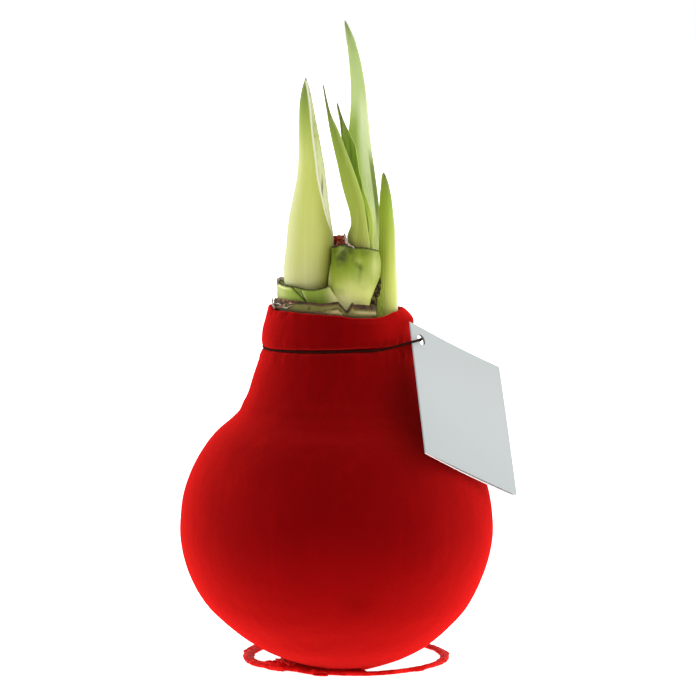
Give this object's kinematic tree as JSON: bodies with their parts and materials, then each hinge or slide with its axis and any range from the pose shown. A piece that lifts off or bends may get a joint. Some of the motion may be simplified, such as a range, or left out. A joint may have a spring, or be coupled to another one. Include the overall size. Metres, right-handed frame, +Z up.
{
  "type": "amaryllis bulb",
  "caption": "Forced amaryllis bulb in a red velvet-textured wax coat, with bud and leaves, on a coiled wire stand, with a square card on a cord round its neck.",
  "frame": {"origin": "on the flat spot under the bulb, below the middle of its neck", "axes": "+Z up along the bulb's neck and shoots, +X to the side that the card hangs on, +Y away from the front"},
  "size_m": [0.1116, 0.1042, 0.2153],
  "materials": {
    "bulb_scale": "satin",
    "velvet_wax": "matte",
    "leaf_base": "satin",
    "dry_scale": "matte",
    "bud_green": "satin",
    "leaf_green": "satin",
    "waxed_wire": "satin",
    "black_elastic": "matte",
    "silver_card": "satin"
  },
  "bodies": {
    "root": {"bulb": "bulb_scale", "wax_coat": "velvet_wax", "bud_collar": "leaf_base", "leaf_sheath": "leaf_base", "dried_tip": "dry_scale", "flower_bud": "bud_green", "leaf_tall": "leaf_green", "leaf_front": "leaf_green", "leaf_inner": "leaf_green", "leaf_side": "leaf_green", "wire_stand": "waxed_wire", "tag_cord": "black_elastic", "tag": "silver_card"}
  },
  "joints": []
}
